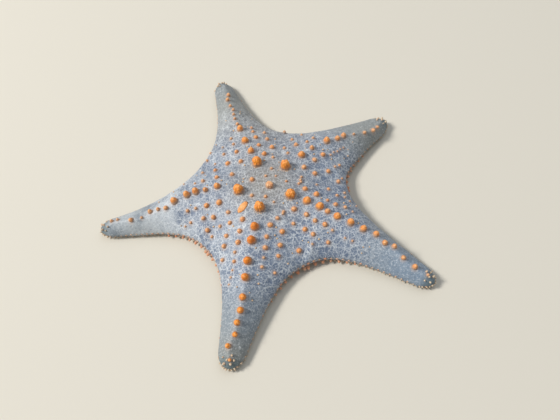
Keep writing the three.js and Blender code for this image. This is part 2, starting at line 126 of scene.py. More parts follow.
bpy.ops.mesh.primitive_plane_add(size=FLOOR_SIZE)
floor = bpy.context.object
floor.name = "floor"
floor_paint, floor_shader = new_paint("floor")
floor_shader.inputs["Base Color"].default_value = paint_value(214, 209, 196)
floor_shader.inputs["Roughness"].default_value = 0.9
floor.data.materials.append(floor_paint)
floor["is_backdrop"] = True

# ------------------------------
# Body wall: a domed disc and five stout arms under one tough skin, pulled over a net of
# small limy plates. The edge is rounded and tucked in above a flat belly with a mouth and
# five grooves. Each tubercle stands on a low swelling of this skin.
#
# Each arm: its heading in degrees and its length; sway and hook bend its middle line; root
# and tip are half widths; notch is the distance of the bay after it; ridge is how far the
# crest stands to the left of the middle line. A tubercle has its distance out, its radius
# and at times how far it strays. Those of the flanks are in rows, each with its offset.
ARMS = [
    dict(heading=102.8, length=126.5, sway=-6.5, hook=3.4, root=23, tip=6.4, notch=60,
         ridge=[0, -0.5, 0.8, 1.2, 2.3, 1.2, 2.3, -1, 0], horn=102.4,
         crest=[(33.2, 2.7, -0.8), (45, 3), (58.5, 2.7, -1), (64.7, 1.5, -0.7), (71.5, 1.3),
                (77, 1.3), (82.5, 1.4, -1.2), (88, 1.4, -0.9), (96.5, 1.8, -0.9),
                (102.6, 1.8, -1.6)],
         flanks={1: [(9.5, [(28, 2), (38.5, 1.9), (47, 1.3), (53.5, 1.4)]),
                     (18.5, [(32.5, 2.2), (43, 1.4), (50, 0.9)]),
                     (27.5, [(39, 0.9), (53, 1.2)]), (32, [(47, 1.3)])],
                 -1: [(7.5, [(27.5, 2.2), (37.5, 1.9), (46.5, 2), (53.5, 1.5), (58.5, 1.4)]),
                      (15.5, [(33, 2.2), (43, 1.8), (50.5, 1.5)]), (13, [(22, 1.4)]),
                      (30.5, [(51, 1.6)])]}),
    dict(heading=34.7, length=112.5, sway=-8.9, hook=-3.2, root=36, tip=6.4, notch=56.5,
         ridge=[0, 0.5, 2.2, 3.3, 2.6, 0, -4.5, -5, 0], horn=37.8,
         crest=[(35.5, 2.9), (45.5, 1.9), (58.5, 2.7), (66.5, 2.2, -0.9), (72, 2.2),
                (79.5, 1.1), (87.5, 1.5, -0.8), (95, 1.8, -1.2), (99.8, 1.4, -0.8)],
         flanks={1: [(11.5, [(30, 1.3), (47.5, 1.4), (53.5, 1.4)]), (15, [(40, 2)]),
                     (18, [(32, 1.4)]), (23, [(42.5, 1.4), (51, 1.2)])],
                 -1: [(5.5, [(30, 2.2), (40.5, 2.1), (48.5, 2.1)]), (12, [(20.5, 1.3)]),
                      (7.5, [(53.5, 0.9), (57, 0.8), (60, 0.8), (63, 0.7), (66, 0.7)]),
                      (14, [(33, 2.1)]), (16.5, [(43, 1.9), (50, 1.2), (54, 1.2)]),
                      (26, [(44, 1.8), (48.5, 0.9)])]}),
    dict(heading=-35.4, length=125, sway=-12, hook=0.7, root=26.8, tip=5.8, notch=57.5,
         ridge=[0, 0.6, 1.5, 1.3, 2.3, 3, 2.3, -1.2, 0], horn=-39.3,
         crest=[(30.4, 3.1), (39.8, 3.1, 0.5), (46, 2.1), (53, 2.8), (62.5, 2.7), (71.5, 2.5),
                (80, 2.3, 1.2), (87.5, 2.1, -0.5), (93.5, 2, 1.2), (102, 1.8), (110.5, 2, 0.5),
                (119.5, 1.2, 0.5)],
         flanks={1: [(10, [(24.5, 2.2), (33, 2.4), (41.5, 1.4), (47.5, 1.9)]),
                     (12, [(53.5, 1.5), (59, 0.9), (19, 1.2)]), (18, [(29, 0.9), (44.5, 1.3)]),
                     (20, [(37, 1.4), (49, 0.9), (53, 0.8), (58, 0.7)]), (24, [(47, 1.2)])],
                 -1: [(7.5, [(25.5, 2.3), (34.5, 2.1), (41.5, 1.9), (48.5, 2.1), (54.5, 1.2),
                             (64, 0.8), (69, 0.9)]),
                      (16, [(29.5, 1.6), (38, 2), (44.5, 1.9), (55.5, 1.6)]),
                      (13, [(20, 1.3)]), (22, [(47, 1)])]}),
    dict(heading=-110.2, length=120, sway=4.9, hook=-4.5, root=26.2, tip=7, notch=57, red=0.45,
         ridge=[0, -0.3, -1, -1.3, -0.7, 0.6, 0.9, -0.6, 0], horn=-110.8,
         crest=[(32, 3.2), (41.5, 3.3), (55.5, 3.1), (66, 2.9), (78.5, 2.5), (86.5, 2.4),
                (94, 2.2), (101, 1.9, 1.1), (108.2, 1.9, -0.9), (115.5, 1.2, 1.2)],
         flanks={1: [(8, [(28.5, 2.3), (37, 1.9), (44.5, 2.1), (51, 1.2), (57, 1.4)]),
                     (12.5, [(23, 1.7)]), (17, [(31, 2.2), (40, 2.1), (47.5, 1.7), (58, 1.3)]),
                     (29, [(40, 2.1)])],
                 -1: [(10.5, [(27, 2.3), (35.5, 2.1), (43.5, 2.2), (50, 1.4), (56, 1.6),
                              (61.5, 0.9), (66, 0.9), (70.5, 0.8)]),
                      (19.5, [(29.5, 1.8), (38.5, 1.9), (46, 2), (54.5, 1.6)])]}),
    dict(heading=177.2, length=123.5, sway=14.2, hook=-8.1, root=20.8, tip=5.4, notch=60.5,
         ridge=[0, -1, -6, -6.6, -4.2, 0.6, 2.8, 0.5, 0], horn=184.1,
         crest=[(34, 2.6), (42.5, 2, 1), (49.5, 2.7), (56, 2.7), (65.5, 2.8), (72, 1.8, 1.2),
                (77.5, 1.5, -0.7), (83.5, 1.9, -1.8), (90, 1.1), (98, 1.8), (108.5, 1.3, -1.7),
                (113.2, 1.4, -1.6)],
         flanks={1: [(6, [(34, 2.6), (43, 2.2), (51, 1.4), (57, 1.6)]),
                     (14, [(28.5, 1.8), (39.5, 2.1), (46.5, 1.8), (56, 1.3), (60.5, 0.9)]),
                     (22, [(35.5, 1.5), (45, 2)]), (27, [(42.5, 1.3)])],
                 -1: [(15, [(23, 2), (34, 1.9), (44, 1.7), (50, 1)]),
                      (25, [(35, 1.7), (44.5, 1.3)]), (20, [(59, 0.9)])]}),
]
# The few small tubercles between the horns: reach and heading from the middle, radius.
DISC_SPOTS = [(14.5, 68, 1.3), (7.7, 85, 1.2), (9.8, 40, 0.9), (11.3, 144, 2.1), (14.1, 3, 1.1),
              (12.4, -151, 1.7), (9.2, -100, 1.5), (14.4, -77, 1), (25.2, 8, 1.1), (24, -2, 1),
              (24.4, -71, 1.2), (26, -81, 1.2)]
DISC_HEIGHT = 25.5
CREST_END_HEIGHT = 9.5
NOTCH_MARGIN = 8.5
TIP_MARGIN = 5
TIP_ROUNDING = 9
EDGE_TUCK = 2.6
CREST_FALL = 1.6
WEB_FALL = 2.2
DISC_ROUND = (2, 1.6)
ARM_ROUND = (1.3, 0.75)
BELLY_RISE = 0.9
BELLY_RAMP = 4
REST_STRIP = 3
GROOVE = dict(root=3.6, tip=1.5, floor=0.45, depth=4.2, end=8, run_out=2.2)
MOUTH = dict(inner=4.5, outer=8.5, depth=6)
HORN_RING = (0.1, 1.3, 19.3)
CENTRE_HORN = (2.2, -0.9)
MADREPORITE = dict(reach=22.2, heading=-144.8, length=10, width=5, height=1.4)
HORN_RADIUS = 3.5
CENTRE_HORN_RADIUS = 2.8

SKIN_STEP = 0.64  # spacing of the mesh over the back, in mm
BELLY_STEP = 1.5
BACK_POINTS = 90  # points that a row is worked out from before it is spaced evenly
BELLY_POINTS = 160
DISC_RIBS = 84
ARM_RIBS = 104
TIP_RIBS = 14
WALL_TURNS = [18, 36, 54, 72]
SETTLING = 12  # steps in which the foot of a bay is found on the middle line of an arm
HALF_GAP = math.radians(36)  # half the angle between two arms


def mix(a, b, t):
    return a + (b - a) * t


def ease(x, low, high):
    t = np.clip((x - low) / (high - low), 0, 1)
    return t * t * (3 - 2 * t)


def through(values, t):
    """A smooth curve through evenly spaced values, read at t from 0 to 1."""
    spans = len(values) - 1
    x = min(max(t, 0), 1) * spans
    i = min(int(x), spans - 1)
    f = x - i
    a, b, c, d = (values[min(max(i + k, 0), spans)] for k in (-1, 0, 1, 2))
    return b + 0.5 * f * (c - a + f * (2 * a - 5 * b + 4 * c - d + f * (3 * (b - c) + d - a)))


def polar(reach, degrees, centre=(0, 0)):
    a = math.radians(degrees)
    return np.array([centre[0] + reach * math.cos(a), centre[1] + reach * math.sin(a)])


def along(arm, s):
    """The middle line of an arm at distance s: its point and the directions there."""
    t = s / arm["length"]
    straight = polar(1, arm["heading"])
    across = np.array([-straight[1], straight[0]])
    bend = (arm["sway"] + arm["hook"] * t) * t * t
    turn = (2 * arm["sway"] + 3 * arm["hook"] * t) * t / arm["length"]
    ahead = straight + across * turn
    ahead /= np.linalg.norm(ahead)
    return straight * s + across * bend, ahead, np.array([-ahead[1], ahead[0]])


def spot(arm, s, offset):
    """The point at distance s of an arm, offset to the left of its middle line."""
    point, _ahead, left = along(arm, s)
    return point + left * offset


def bay_heading(index):
    """The heading of the bay after an arm, half way to the next arm."""
    gap = (ARMS[index]["heading"] - ARMS[(index + 1) % 5]["heading"]) % 360
    return ARMS[index]["heading"] - gap / 2


def notch_after(index):
    return polar(ARMS[index]["notch"], bay_heading(index))


def plain_width(arm, s):
    return mix(arm["root"], arm["tip"], s / arm["length"])


def flank(arm, notch, hand):
    """One side of an arm, 1 left and -1 right, and how its web flares to the notch."""
    s = 0.4 * arm["length"]
    for _ in range(SETTLING):
        point, ahead, _left = along(arm, s)
        s += (notch - point) @ ahead
    point, ahead, left = along(arm, s)
    square = np.array([-notch[1], notch[0]])
    slope = hand * (square @ left) / (square @ ahead)
    taper = (arm["tip"] - arm["root"]) / arm["length"]
    flare = hand * ((notch - point) @ left) - plain_width(arm, s)
    return dict(hand=hand, s=s, notch=notch, flare=flare, fade=flare / (taper - slope))


for index, arm in enumerate(ARMS):
    arm[1] = flank(arm, notch_after((index + 4) % 5), 1)
    arm[-1] = flank(arm, notch_after(index), -1)
    arm["base"] = (arm[1]["s"] + arm[-1]["s"]) / 2


SIDES = [(arm, hand) for arm in ARMS for hand in (1, -1)]


def half_width(arm, edge, s):
    return plain_width(arm, s) + edge["flare"] * math.exp((edge["s"] - s) / edge["fade"])


def tip_turn(u):
    return min(max(u - 1, 0), 1) * math.pi / 2


def station(arm, start, u, rounding=TIP_ROUNDING):
    """u runs from 0 at the notch to 1 where the tip starts to round, and 2 at its end."""
    return mix(start, arm["length"] - TIP_ROUNDING, min(u, 1)) + rounding * math.sin(tip_turn(u))


def edge_point(arm, edge, u):
    s = station(arm, edge["s"], u)
    point, _ahead, left = along(arm, s)
    return point + left * edge["hand"] * math.cos(tip_turn(u)) * half_width(arm, edge, s)


def inwards(arm, edge, u):
    """The direction from the outline into the body."""
    if u == 0:
        return -edge["notch"] / np.linalg.norm(edge["notch"])
    if u >= 2:
        return -along(arm, arm["length"])[1]
    run = edge_point(arm, edge, u + 0.01) - edge_point(arm, edge, u - 0.01)
    return np.array([run[1], -run[0]]) * edge["hand"] / np.linalg.norm(run)


def crest_height(arm, s):
    return mix(DISC_HEIGHT, CREST_END_HEIGHT, (s / arm["length"]) ** CREST_FALL)


def groove_width(arm, s):
    return mix(GROOVE["root"], GROOVE["tip"], s / arm["length"])


def belly_height(arm, aside, s):
    left = min(max((arm["length"] - GROOVE["end"] - s) / arm["length"], 0), 1)
    width = groove_width(arm, s)
    depth = GROOVE["depth"] * min(1, GROOVE["run_out"] * left)
    groove = depth * (1 - ease(aside, GROOVE["floor"] * width, width))
    mouth = MOUTH["depth"] * (1 - ease(np.hypot(aside, s), MOUTH["inner"], MOUTH["outer"]))
    strip = width + REST_STRIP
    rise = BELLY_RISE * ease(aside, strip, strip + BELLY_RAMP)
    return np.maximum(np.maximum(groove, mouth), rise)


corners, tags, faces = [], [], []


def run_along(points):
    """The distance of each point of a row from its first one, along the row."""
    return np.concatenate([[0], np.cumsum(np.linalg.norm(np.diff(points, axis=0), axis=1))])


def lay_row(xy, z, tag, spacing=None):
    """Adds a row of points, spaced evenly where a spacing is given. Each point is tagged
    with how far it is along the arm and aside, and whether it is under the body."""
    rows = np.column_stack([xy, z, *np.broadcast_arrays(*tag, z)[:3]])
    if spacing:
        run = run_along(rows[:, :3])
        marks = np.linspace(0, run[-1], max(1, round(run[-1] / spacing)) + 1)
        rows = np.column_stack([np.interp(marks, run, column) for column in rows.T])
    first = len(corners)
    corners.extend(rows[:, :3])
    tags.extend(rows[:, 3:])
    return list(range(first, len(corners)))


def zip_rows(near, far, hand):
    """Joins two rows that may have different numbers of points."""
    i = j = 0
    while i < len(near) - 1 or j < len(far) - 1:
        next_near = (i + 1) / max(len(near) - 1, 1e-9)
        next_far = (j + 1) / max(len(far) - 1, 1e-9)
        if j == len(far) - 1 or (i < len(near) - 1 and next_near <= next_far):
            face = (near[i], near[i + 1], far[j])
            i += 1
        else:
            face = (near[i], far[j + 1], far[j])
            j += 1
        faces.append(face if hand > 0 else face[::-1])


def top_row(arm, edge_xy, s, crest_z, edge_z, rounding):
    crest = spot(arm, s, through(arm["ridge"], s / arm["length"]))
    v = 1 - (1 - np.linspace(0, 1, BACK_POINTS)) ** 2
    share = (1 - v ** rounding[0]) ** rounding[1]
    xy = crest + (edge_xy - crest) * v[:, None]
    return lay_row(xy, mix(edge_z, crest_z, share), (s / arm["length"], v, 0), SKIN_STEP)


def belly_row(arm, middle_xy, foot_xy, s, seam_radius):
    span = np.linalg.norm(foot_xy - middle_xy)
    aside = np.linspace(0, span, BELLY_POINTS)
    share = aside / max(span, 1e-9)
    z = belly_height(arm, aside, s)
    if seam_radius is not None:
        z[-1] = belly_height(ARMS[0], seam_radius * math.sin(HALF_GAP),
                             seam_radius * math.cos(HALF_GAP))
    xy = middle_xy + (foot_xy - middle_xy) * share[:, None]
    return lay_row(xy, z, (s / arm["length"], share, 1), BELLY_STEP)


def wall_row(arm, edge_xy, inward, top_z, foot_z, s):
    """The rounded edge, from the rim of the back down to the foot."""
    turns = np.radians([0, *WALL_TURNS, 90])
    xy = edge_xy + inward * (EDGE_TUCK * (1 - np.cos(turns)))[:, None]
    down = np.sin(turns)
    return lay_row(xy, mix(top_z, foot_z, down), (s / arm["length"], 1, down))


def join_ribs(last, rows, hand):
    """Joins the top, belly and wall rows of a rib to those of the rib before it."""
    for near, far, way in zip(last, rows, (-hand, hand, -hand)):
        zip_rows(near, far, way)
    return rows


for arm, hand in SIDES:
    edge = arm[hand]
    notch_radius = np.linalg.norm(edge["notch"])
    outward = edge["notch"] / notch_radius
    middle = np.zeros((1, 2))
    rows = [lay_row(middle, [DISC_HEIGHT], (0, 0, 0)),
            lay_row(middle, [MOUTH["depth"]], (0, 0, 1))]
    for k in range(1, DISC_RIBS):
        share = k / DISC_RIBS
        s = share * arm["base"]
        point = along(arm, s)[0]
        seam_z = mix(DISC_HEIGHT, NOTCH_MARGIN, share ** WEB_FALL)
        rounding = (mix(DISC_ROUND[0], ARM_ROUND[0], share),
                    mix(DISC_ROUND[1], ARM_ROUND[1], share ** 3))
        top = top_row(arm, share * edge["notch"], s, crest_height(arm, s), seam_z, rounding)
        seam_radius = share * (notch_radius - EDGE_TUCK)
        belly = belly_row(arm, point, outward * seam_radius, s, seam_radius)
        rows = join_ribs(rows, [top, belly], hand)
    stations = [k / ARM_RIBS for k in range(ARM_RIBS + 1)]
    stations += [1 + (k + 1) / TIP_RIBS for k in range(TIP_RIBS)]
    for u in stations:
        s = station(arm, arm["base"], u)
        crest_z = mix(TIP_MARGIN, crest_height(arm, s), math.cos(tip_turn(u)))
        edge_z = mix(NOTCH_MARGIN, TIP_MARGIN, ease(u, 0, 1))
        edge_xy = edge_point(arm, edge, u)
        inward = inwards(arm, edge, u)
        foot_xy = edge_xy + inward * EDGE_TUCK
        under_s = station(arm, arm["base"], u, TIP_ROUNDING - EDGE_TUCK)
        foot_radius = notch_radius - EDGE_TUCK if u == 0 else None
        top = top_row(arm, edge_xy, s, crest_z, edge_z, ARM_ROUND)
        belly = belly_row(arm, along(arm, under_s)[0], foot_xy, under_s, foot_radius)
        wall = wall_row(arm, edge_xy, inward, edge_z, corners[belly[-1]][2], s)
        rows = join_ribs(rows, [top, belly, wall], hand)

draw = random.Random(5)
sieve_at = polar(MADREPORITE["reach"], MADREPORITE["heading"])
horns = [polar(HORN_RING[2], arm["horn"], HORN_RING) for arm in ARMS]
crest_spots, crest_red = [], []
flank_spots = [(polar(reach, heading), size) for reach, heading, size in DISC_SPOTS]
for arm in ARMS:
    for mark, size, *stray in arm["crest"]:
        offset = through(arm["ridge"], mark / arm["length"]) + sum(stray)
        crest_spots.append((spot(arm, mark, offset), size))
        crest_red.append(arm.get("red", 0))
    for hand in (1, -1):
        for offset, knobs in arm["flanks"][hand]:
            for mark, size in knobs:
                wander = draw.uniform(-0.5, 0.5)
                flank_spots.append((spot(arm, mark, hand * (offset + wander)), size))



def choose(*pieces):
    """Selects these pieces alone. The first is the active one."""
    bpy.ops.object.select_all(action="DESELECT")
    for piece in pieces:
        piece.select_set(True)
    bpy.context.view_layer.objects.active = pieces[0]


skin_mesh = bpy.data.meshes.new("skin")
star_corners = np.array(corners) + [*STAR_MIDDLE, 0]
skin_mesh.from_pydata((star_corners * MM).tolist(), [], faces)


def store(mesh, name, values):
    """Keeps one value for each point of a mesh, for its material to read."""
    if name not in mesh.attributes:
        mesh.attributes.new(name, "FLOAT", "POINT")
    values = np.broadcast_to(np.asarray(values, np.float32), len(mesh.vertices))
    mesh.attributes[name].data.foreach_set("value", values)


for column, name in enumerate(("along", "aside", "under")):
    store(skin_mesh, name, np.array(tags)[:, column])
skin = bpy.data.objects.new("skin", skin_mesh)
bpy.context.collection.objects.link(skin)
choose(skin)
bpy.ops.object.mode_set(mode="EDIT")
bpy.ops.mesh.select_all(action="SELECT")
bpy.ops.mesh.remove_doubles(threshold=2e-5)
bpy.ops.mesh.dissolve_degenerate(threshold=1e-6)
bpy.ops.mesh.normals_make_consistent(inside=False)
bpy.ops.object.mode_set(mode="OBJECT")


def column_of(mesh, name, width=1):
    """A per-point attribute of a mesh as an array."""
    values = np.empty(len(mesh.vertices) * width, np.float32)
    if name in ("co", "normal"):
        mesh.vertices.foreach_get(name, values)
    else:
        mesh.attributes[name].data.foreach_get("value", values)
    return values.reshape(-1, width) if width > 1 else values


def move_points(mesh, points):
    mesh.vertices.foreach_set("co", np.ravel(points))
    mesh.update()


def finish_step(made, kind, **settings):
    """Adds a modifier to a piece and applies it."""
    choose(made)
    step = made.modifiers.new(kind.lower(), kind)
    for name, value in settings.items():
        setattr(step, name, value)
    bpy.ops.object.modifier_apply(modifier=step.name)


# The bays: the crease where two arms meet is eased into a shallow hollow.
BAY_FROM = 26  # mm from the middle of the disc
BAY_FADE = 12
BAY_ENDS = (3, 1.2)  # mm from the notch, where the easing fades out
BAY_SIDES = (2, 7)  # mm beside the crease
BAY_EASING = 40
places = column_of(skin_mesh, "co", 3).astype(float) / MM - [*STAR_MIDDLE, 0]
under = column_of(skin_mesh, "under")
bays = np.zeros(len(places))
for index in range(5):
    notch = notch_after(index)
    radius = np.linalg.norm(notch)
    out = places[:, :2] @ notch / radius
    aside = np.abs(places[:, 0] * notch[1] - places[:, 1] * notch[0]) / radius
    near = ease(out, BAY_FROM, BAY_FROM + BAY_FADE)
    near *= 1 - ease(out, radius - BAY_ENDS[0], radius - BAY_ENDS[1])
    bays = np.maximum(bays, near * (1 - ease(aside, *BAY_SIDES)))
bays *= under < 0.01
group = skin.vertex_groups.new(name="bays")
for place in np.flatnonzero(bays > 0.02):
    group.add([int(place)], float(bays[place]), "REPLACE")
finish_step(skin, "SMOOTH", factor=0.8, iterations=BAY_EASING, vertex_group="bays")
skin.vertex_groups.clear()
skin_mesh = skin.data

# The swellings: low round mounds under every tubercle, wider ones under the horns.
SWELL = dict(horn=0.6, centre=0.4, crest=0.42, flank=0.38, spread=1.45)
places = column_of(skin_mesh, "co", 3).astype(float) / MM - [*STAR_MIDDLE, 0]
facing = column_of(skin_mesh, "normal", 3)
under = column_of(skin_mesh, "under")
smooth_places = places.copy()
mounds = [(at, HORN_RADIUS, SWELL["horn"]) for at in horns]
mounds += [(CENTRE_HORN, CENTRE_HORN_RADIUS, SWELL["centre"])]
mounds += [(at, size, SWELL["crest"]) for at, size in crest_spots]
mounds += [(at, size, SWELL["flank"]) for at, size in flank_spots]
lift, collar = np.zeros(len(places)), np.zeros(len(places))
for at, radius, height in mounds:
    far = np.hypot(places[:, 0] - at[0], places[:, 1] - at[1])
    lift += height * np.exp(-(far / (SWELL["spread"] * radius)) ** 2)
    # The skin is paler and warmer just round the foot of each tubercle.
    collar = np.maximum(collar, 1 - ease(far, radius + 0.1, radius + 1.3))
lift *= under < 0.01
places += facing * lift[:, None]
move_points(skin_mesh, (places + [*STAR_MIDDLE, 0]) * MM)
# The relief leaves out the flat strips that the star rests on at floor level.
relief = np.where(under > 0.99, ease(places[:, 2], 0.35, 0.9) * 0.8, 1.0)
store(skin_mesh, "relief", relief)
store(skin_mesh, "collar", collar * (under < 0.01))


class Shade:
    """A socket in a node tree. Sums and products of such values add Math nodes."""

    def __init__(self, tree, socket=None):
        self.tree = tree
        self.socket = socket

    def node(self, kind, settings=None, inputs=None, out=0):
        """Adds a node, sets it up, and then gives its sockets values or links."""
        made = self.tree.nodes.new(kind)
        for name, value in (settings or {}).items():
            setattr(made, name, value)
        for key, value in (inputs or {}).items():
            if isinstance(value, Shade):
                self.tree.links.new(value.socket, made.inputs[key])
            else:
                made.inputs[key].default_value = value
        return Shade(self.tree, made.outputs[out] if made.outputs else None)

    def math(self, operation, *values):
        return self.node("ShaderNodeMath", {"operation": operation}, dict(enumerate(values)))

    def __add__(self, other):
        return self.math("ADD", self, other)

    def __sub__(self, other):
        return self.math("SUBTRACT", self, other)

    def __rsub__(self, other):
        return self.math("SUBTRACT", other, self)

    def __mul__(self, other):
        return self.math("MULTIPLY", self, other)

    __radd__ = __add__
    __rmul__ = __mul__

    def larger(self, other):
        return self.math("MAXIMUM", self, other)

    def tag(self, name):
        """A value stored on the points of the mesh."""
        return self.node("ShaderNodeAttribute", {"attribute_name": name}, None, 2)

    def feed(self, shader, name):
        """Links this value to a socket of the shader."""
        self.tree.links.new(self.socket, shader.inputs[name])

    def bumps(self, shader, strength):
        """Uses this value as fine relief, 0.3 mm deep."""
        self.node("ShaderNodeBump", None, {"Strength": strength, "Distance": 0.3 * MM,
                                           "Height": self}).feed(shader, "Normal")

    def rising(self, low, high):
        """0 below low, 1 above high, and smooth between them."""
        return self.node("ShaderNodeMapRange", {"interpolation_type": "SMOOTHSTEP"},
                         {"Value": self, "From Min": low, "From Max": high})

    def tint(self, off, on):
        """The colour off where this value is 0, and on where it is 1. A colour is a Shade
        or three numbers of 0 to 255."""
        off, on = (paint_value(*c) if isinstance(c, tuple) else c for c in (off, on))
        return self.node("ShaderNodeMix", {"data_type": "RGBA"}, {0: self, 6: off, 7: on}, 2)

    def washed(self, *washes):
        """Lays colours over this one, each where its own value is 1."""
        tint = self
        for value, colour in washes:
            tint = value.tint(tint, colour)
        return tint

    def scaled(self, factors, shift=(0, 0, 0)):
        return self.node("ShaderNodeVectorMath", {"operation": "MULTIPLY_ADD"},
                         {0: self, 1: factors, 2: shift})

    def from_middle(self):
        """A place in metres as one in mm from the middle of the star."""
        return self.scaled((1 / MM,) * 3, (-STAR_MIDDLE[0], -STAR_MIDDLE[1], 0))

    def noise(self, size, detail=2, rough=0.5, out=0):
        """Soft noise whose lumps are about size across, from 0 to 1."""
        return self.node("ShaderNodeTexNoise", None,
                         {"Vector": self, "Scale": 1 / size, "Detail": detail,
                          "Roughness": rough}, out)

    def cells(self, size, feature="F1", jitter=1.0):
        """Distance to the middle, or the edge, of cells that are about size across."""
        return self.node("ShaderNodeTexVoronoi", {"feature": feature},
                         {"Vector": self, "Scale": 1 / size, "Randomness": jitter})

    def near(self, x, y, z, reach):
        """1 at a place and 0 further than reach from it."""
        far = self.node("ShaderNodeVectorMath", {"operation": "DISTANCE"},
                        {0: self, 1: (x, y, z)}, 1)
        return 1 - far.rising(0, reach)


RING = 4.1  # mm across the larger rings of the net
THREAD = 2.1  # and across the smaller meshes between them
HOOP = 1.75  # mm from the middle of a ring to its round ridge
BEAD = 0.85  # and the same for a small mesh
SWAY = 2.6  # mm between the bends of the net
SWAY_REACH = 2.1


def skin_net(place, width):
    """The net of fine ridges at a place in mm: its rings and its thinner threads."""
    flat = place.scaled((1, 1, 0.5))
    sway = flat.noise(SWAY, 2, 0.5, 1)
    moved = sway.scaled((SWAY_REACH,) * 3, flat)
    wall = moved.cells(RING, "DISTANCE_TO_EDGE", 0.75) * RING
    hoop = (moved.cells(RING, "F1", 0.75) * RING - HOOP).math("ABSOLUTE")
    fine = moved.cells(THREAD, "DISTANCE_TO_EDGE", 0.9) * THREAD
    bead = (moved.cells(THREAD, "F1", 0.9) * THREAD - BEAD).math("ABSOLUTE")
    rings = (0.55 - wall.rising(0, width) * 0.55).larger(1 - hoop.rising(0, width))
    threads = (0.7 - fine.rising(0, width) * 0.7).larger(1 - bead.rising(0, width))
    return (rings * (1 - flat.noise(6, 1).rising(0.5, 0.68) * 0.7),
            threads * flat.noise(4.3, 1).rising(0.34, 0.54))


# Fine relief of the skin: raised net, shallow pits inside it, and low lumps.
RING_HEIGHT = 0.2
THREAD_HEIGHT = 0.12
LUMP_HEIGHT = 0.9
PIT_DEPTH = 0.1
relief_tree = bpy.data.node_groups.new("skin_relief", "GeometryNodeTree")
relief_tree.interface.new_socket("Geometry", in_out="INPUT", socket_type="NodeSocketGeometry")
relief_tree.interface.new_socket("Geometry", in_out="OUTPUT", socket_type="NodeSocketGeometry")
maker = Shade(relief_tree)
body = maker.node("NodeGroupInput")
place = maker.node("GeometryNodeInputPosition").from_middle()
amount = maker.node("GeometryNodeInputNamedAttribute", {"data_type": "FLOAT"},
                    {"Name": "relief"})
rings, threads = skin_net(place, 0.85)
lumps = place.noise(11, 2)
grain = place.cells(1.4)
height = (rings * RING_HEIGHT + threads * THREAD_HEIGHT + (lumps - 0.5) * LUMP_HEIGHT
          - grain * PIT_DEPTH)
away = maker.node("GeometryNodeInputNormal")
push = away.node("ShaderNodeVectorMath", {"operation": "SCALE"},
                 {0: away, 3: height * amount * MM})
moved = maker.node("GeometryNodeSetPosition", None, {"Geometry": body, "Offset": push})
maker.node("NodeGroupOutput", None, {0: moved})
relief_step = skin.modifiers.new("relief", "NODES")
relief_step.node_group = relief_tree
bpy.ops.object.modifier_apply(modifier="relief")
places = column_of(skin.data, "co", 3)
places[:, 2] = np.maximum(places[:, 2], 0)
move_points(skin.data, places)
for polygon in skin.data.polygons:
    polygon.use_smooth = True

skin_paint, skin_shader = new_paint("sea_star_skin")
maker = Shade(skin_paint.node_tree)
place = maker.node("ShaderNodeTexCoord", None, None, 3).from_middle()
rings, threads = skin_net(place, 0.3)
reach = maker.tag("along")
belly = maker.tag("under").rising(0.6, 1)
collar = maker.tag("collar")
soft = place.noise(14, 3)
fine = place.noise(1.5, 3, 0.65)
dots = 1 - place.cells(1.15).rising(0.18, 0.42)
BLUE_GREY = (99, 114, 138)
SLATE = (120, 133, 152)
TAUPE = (136, 134, 130)
OLIVE_GREY = (132, 141, 146)
TEAL_GREY = (124, 144, 166)
CHALK = (232, 237, 238)
WARM_GREY = (140, 130, 118)
SAND_GREY = (140, 134, 112)
DARK_GREY = (78, 90, 104)
BLUSH = (206, 178, 158)
DEEP_TEAL = (84, 106, 112)
BELLY_PALE = (206, 192, 168)
BELLY_DARK = (186, 166, 140)
BELLY_SEAM = (142, 120, 96)
BELLY_CHALK = (232, 222, 204)
middle = place.near(0, 2, 25, 44)
distal = reach.rising(0.5, 0.8)
right_arm = distal * place.near(98, -70, 6, 80)
# Painted light: soft pale patches on the left side of the star stand in for bright light from
# the water falling there.
painted_light_patches = (place.near(-78, 0, 12, 60) * 0.5).larger(place.near(-22, 62, 12, 50) * 0.16)
painted_light_patches = painted_light_patches.larger(place.near(-38, -26, 14, 34) * 0.12)
warm = place.near(6, 58, 14, 62)
sandy = place.near(-12, 92, 16, 58).larger(place.near(82, 40, 12, 48))
sandy = sandy.larger(place.near(-36, -110, 8, 26) * 1.2)
clear = (1 - distal * 0.85) * (1 - middle * 0.3)
plates = 1 - place.cells(3.3, "DISTANCE_TO_EDGE", 0.8).rising(0.02, 0.13)
belly_tint = soft.rising(0.35, 0.65).tint(BELLY_PALE, BELLY_DARK).washed(
    (plates * 0.5, BELLY_SEAM),
    (fine.rising(0.5, 0.7) * 0.4, BELLY_CHALK))
tint = soft.rising(0.35, 0.65).tint(BLUE_GREY, SLATE).washed(
    (middle, TAUPE),
    (distal * 0.75, OLIVE_GREY),
    (right_arm * 0.8, TEAL_GREY),
    # painted light: pale patches where bright light falls on the left side
    (painted_light_patches * soft.rising(0.3, 0.6), CHALK),
    (warm * 0.4, WARM_GREY),
    (sandy * 0.4, SAND_GREY),
    (rings * clear * 0.9, CHALK),
    (threads * clear * 0.58, CHALK),
    (dots * 0.28 + fine.rising(0.54, 0.72) * 0.34, CHALK),
    ((1 - fine.rising(0.3, 0.46)) * 0.4, DARK_GREY),
    (collar * 0.3, BLUSH),
    (reach.rising(0.925, 0.985) * 0.7, DEEP_TEAL),
    (belly * 0.95, belly_tint))
tint.feed(skin_shader, "Base Color")
(0.36 + fine * 0.25).feed(skin_shader, "Roughness")
bumps = (rings * 0.5 + threads * 0.3) * (1 - belly) + fine * 0.4 + dots * 0.4
(bumps - plates * belly * 0.8).bumps(skin_shader, 0.6)
skin.data.materials.append(skin_paint)
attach(skin, "root")
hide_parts("disc", "arm_1", "arm_2", "arm_3", "arm_4", "arm_5")

